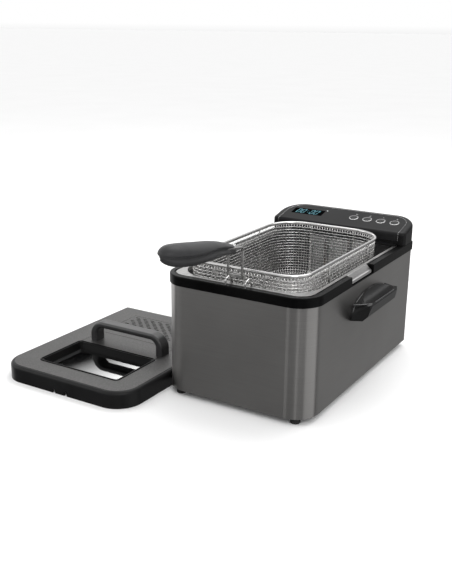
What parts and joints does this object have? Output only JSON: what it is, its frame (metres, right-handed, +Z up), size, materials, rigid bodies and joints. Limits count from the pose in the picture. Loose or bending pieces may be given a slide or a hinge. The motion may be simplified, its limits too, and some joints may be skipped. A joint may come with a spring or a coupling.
{
  "type": "deep fryer",
  "caption": "Household deep fryer with a brushed steel body, lift-out tank, wire basket, control head with display and push buttons, and a separate lid with a window.",
  "frame": {"origin": "on the table, under the middle of the steel body", "axes": "+Z up, +X to the right of a person facing the front, +Y from the front to the back"},
  "size_m": [0.524, 0.583, 0.2808],
  "materials": {
    "dark_steel": "dark brushed steel",
    "bright_steel": "satin steel",
    "chrome_wire": "nickel-plated wire",
    "black_plastic": "fine-grained black",
    "gloss_black": "smooth black",
    "grip_plastic": "soft matt charcoal",
    "foot_rubber": "black rubber",
    "seal_rubber": "black silicone",
    "glass": "clear tempered glass",
    "display_glass": "smoked display window",
    "display_digits": "blue digits",
    "led": "clear lamp",
    "board_green": "circuit board",
    "inner_plastic": "pale inner moulding",
    "element_steel": "heat-tinted steel",
    "screw_steel": "zinc plated",
    "filter_mat": "felted filter mat",
    "red_plastic": "red"
  },
  "bodies": {
    "housing": {"outer_housing": "dark_steel", "base_plate": "black_plastic", "feet": "foot_rubber", "base_screws": "screw_steel", "top_collar": "black_plastic", "side_handle_right": "black_plastic", "side_handle_left": "black_plastic", "handle_screws": "screw_steel", "guide_rails": "bright_steel", "rail_rivets": "screw_steel", "interlock_peg": "black_plastic"},
    "tank": {"oil_tank": "bright_steel", "tank_lift_tabs": "bright_steel"},
    "head": {"head_base": "black_plastic", "head_cover": "black_plastic", "control_panel": "gloss_black", "display_window": "display_glass", "display_module": "display_digits", "indicator_led": "led", "control_board": "board_green", "board_screws": "screw_steel", "button_bezels": "chrome_wire", "tact_switches": "inner_plastic", "head_screws": "screw_steel", "power_relay": "inner_plastic", "terminal_block": "inner_plastic", "interlock_switch": "gloss_black", "thermal_cutout": "inner_plastic", "mains_gland": "black_plastic", "heating_element": "element_steel", "element_mount_plate": "bright_steel", "element_nuts": "screw_steel", "element_clips": "bright_steel", "sensor_bulbs": "bright_steel", "capillary_tubes": "bright_steel"},
    "reset_key": {"reset_button": "red_plastic"},
    "power_key": {"power_button": "gloss_black"},
    "timer_key": {"timer_button": "gloss_black"},
    "minus_key": {"minus_button": "gloss_black"},
    "plus_key": {"plus_button": "gloss_black"},
    "basket": {"basket_mesh": "chrome_wire", "basket_rim": "chrome_wire", "basket_frame": "chrome_wire", "drain_hooks": "chrome_wire", "handle_bracket": "bright_steel", "handle_wire": "chrome_wire", "grip_upper": "grip_plastic", "grip_lower": "grip_plastic", "grip_screw": "screw_steel"},
    "lid": {"lid_rim": "black_plastic", "lid_top_plate": "dark_steel", "window_frame": "gloss_black", "window_glass": "glass", "window_seal": "seal_rubber", "lid_handle": "black_plastic", "lid_handle_screws": "screw_steel", "vent_filter": "filter_mat", "filter_cover": "black_plastic", "filter_screws": "screw_steel"}
  },
  "joints": [
    {"name": "tank_lift", "type": "slide", "parent": "housing", "child": "tank", "axis": [0, 0, 1], "range_m": [0, 0.2]},
    {"name": "head_lift", "type": "slide", "parent": "tank", "child": "head", "axis": [0, 0, 1], "range_m": [0, 0.042]},
    {"name": "basket_lift", "type": "slide", "parent": "tank", "child": "basket", "axis": [0, 0, 1], "range_m": [0, 0.2]},
    {"name": "lid_lift", "type": "slide", "parent": "housing", "child": "lid", "axis": [-0.6, 0, 0.8], "range_m": [0, 0.3]},
    {"name": "power_press", "type": "slide", "parent": "head", "child": "power_key", "axis": [0, 0.2187, -0.9758], "range_m": [0, 0.001], "stiffness_N_per_m": 800, "springref_m": -0.0005},
    {"name": "timer_press", "type": "slide", "parent": "head", "child": "timer_key", "axis": [0, 0.2187, -0.9758], "range_m": [0, 0.001], "stiffness_N_per_m": 800, "springref_m": -0.0005},
    {"name": "minus_press", "type": "slide", "parent": "head", "child": "minus_key", "axis": [0, 0.2187, -0.9758], "range_m": [0, 0.001], "stiffness_N_per_m": 800, "springref_m": -0.0005},
    {"name": "plus_press", "type": "slide", "parent": "head", "child": "plus_key", "axis": [0, 0.2187, -0.9758], "range_m": [0, 0.001], "stiffness_N_per_m": 800, "springref_m": -0.0005},
    {"name": "reset_press", "type": "slide", "parent": "head", "child": "reset_key", "axis": [0, -1, 0], "range_m": [0, 0.0011], "stiffness_N_per_m": 800, "springref_m": -0.0005}
  ]
}
